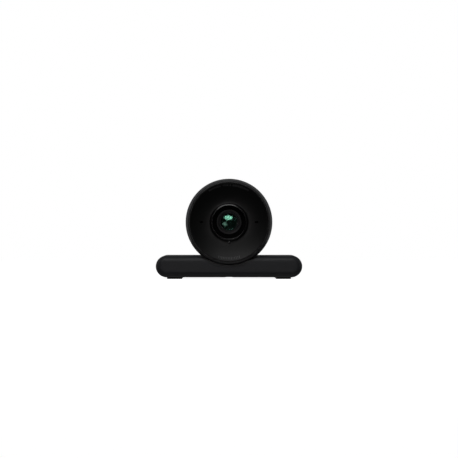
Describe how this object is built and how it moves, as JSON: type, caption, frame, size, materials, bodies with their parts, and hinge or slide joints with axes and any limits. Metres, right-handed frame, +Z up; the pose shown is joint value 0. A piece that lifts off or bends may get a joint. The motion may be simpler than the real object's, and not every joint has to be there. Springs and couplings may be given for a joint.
{
  "type": "webcam",
  "caption": "Round-headed desk webcam: ball head pans and tilts in a pill-shaped base with a folding clip leg; a turning rim works a lens shutter.",
  "frame": {"origin": "on the surface the feet stand on, under the middle of the object's box", "axes": "+Z up, +X to the right seen from the front, the lens faces -Y"},
  "size_m": [0.0842, 0.0492, 0.0577],
  "materials": {
    "satin_shell": "satin moulded ABS",
    "textured_dish": "fine textured plastic",
    "inner_plastic": "matt black moulding",
    "rubber": "matt silicone rubber",
    "acetal": "grey acetal friction part",
    "spring_steel": "stamped spring steel",
    "dark_steel": "blackened steel fastener",
    "barrel": "black anodised aluminium",
    "glass": "green coated optical glass",
    "filter_glass": "infra-red cut filter",
    "circuit_board": "green solder mask",
    "chip": "moulded chip package",
    "alloy": "bare aluminium",
    "nylon": "natural nylon",
    "led": "LED package",
    "clear": "clear acrylic"
  },
  "bodies": {
    "base": {"base_shell": "satin_shell", "bottom_cover": "inner_plastic", "cradle_liner": "acetal", "mount_pad": "rubber", "hinge_pin": "spring_steel", "foot_front_left": "rubber", "foot_front_right": "rubber", "foot_rear_left": "rubber", "foot_rear_right": "rubber", "cover_screw_1": "dark_steel", "cover_screw_2": "dark_steel", "cover_screw_3": "dark_steel", "cover_screw_4": "dark_steel"},
    "pan_arm": {"pan_arm": "spring_steel", "pan_pivot": "dark_steel", "pan_screw": "dark_steel", "pan_wave_washer": "spring_steel", "tilt_shoe": "acetal", "tilt_spring_washer": "spring_steel", "tilt_nut": "dark_steel"},
    "head": {"head_shell": "satin_shell", "rear_cap": "satin_shell", "cable_gland": "rubber", "front_bezel": "textured_dish", "mid_frame": "inner_plastic", "frame_screw_1": "dark_steel", "frame_screw_2": "dark_steel", "frame_screw_3": "dark_steel", "lens_barrel": "barrel", "retainer_ring": "alloy", "front_element": "glass", "middle_element": "glass", "rear_element": "glass", "lens_holder": "inner_plastic", "ir_filter": "filter_glass", "image_sensor": "chip", "main_board": "circuit_board", "board_screw_left": "dark_steel", "board_screw_right": "dark_steel", "holder_screw_left": "dark_steel", "holder_screw_right": "dark_steel", "video_processor": "chip", "heat_spreader": "alloy", "wire_header": "nylon", "microphone_left": "alloy", "microphone_right": "alloy", "mic_boot_left": "rubber", "mic_boot_right": "rubber", "status_led": "led", "light_pipe": "clear", "shutter_pin": "spring_steel"},
    "privacy_ring": {"privacy_ring": "satin_shell"},
    "shutter": {"shutter_blade": "inner_plastic"},
    "clamp_leg": {"clamp_leg": "satin_shell", "clamp_pad": "rubber"}
  },
  "joints": [
    {"name": "pan", "type": "hinge", "parent": "base", "child": "pan_arm", "pos_m": [0, -0.01637, 0.03275], "axis": [0, 0, 1], "range_deg": [-45, 45]},
    {"name": "tilt", "type": "hinge", "parent": "pan_arm", "child": "head", "pos_m": [0, -0.01637, 0.03275], "axis": [1, 0, 0], "range_deg": [-22, 18]},
    {"name": "ring_turn", "type": "hinge", "parent": "head", "child": "privacy_ring", "pos_m": [0, -0.01637, 0.03275], "axis": [0, -1, 0], "range_deg": [0, 25.44]},
    {"name": "shutter_swing", "type": "hinge", "parent": "head", "child": "shutter", "pos_m": [0.00923, -0.01637, 0.04198], "axis": [0, -1, 0], "range_deg": [0, 71.24]},
    {"name": "leg_fold", "type": "hinge", "parent": "base", "child": "clamp_leg", "pos_m": [0, 0.02143, 0.0037], "axis": [1, 0, 0], "range_deg": [0, 105]}
  ],
  "couplings": [
    {"joint": "shutter_swing", "follows": "ring_turn", "ratio": 2.8}
  ]
}
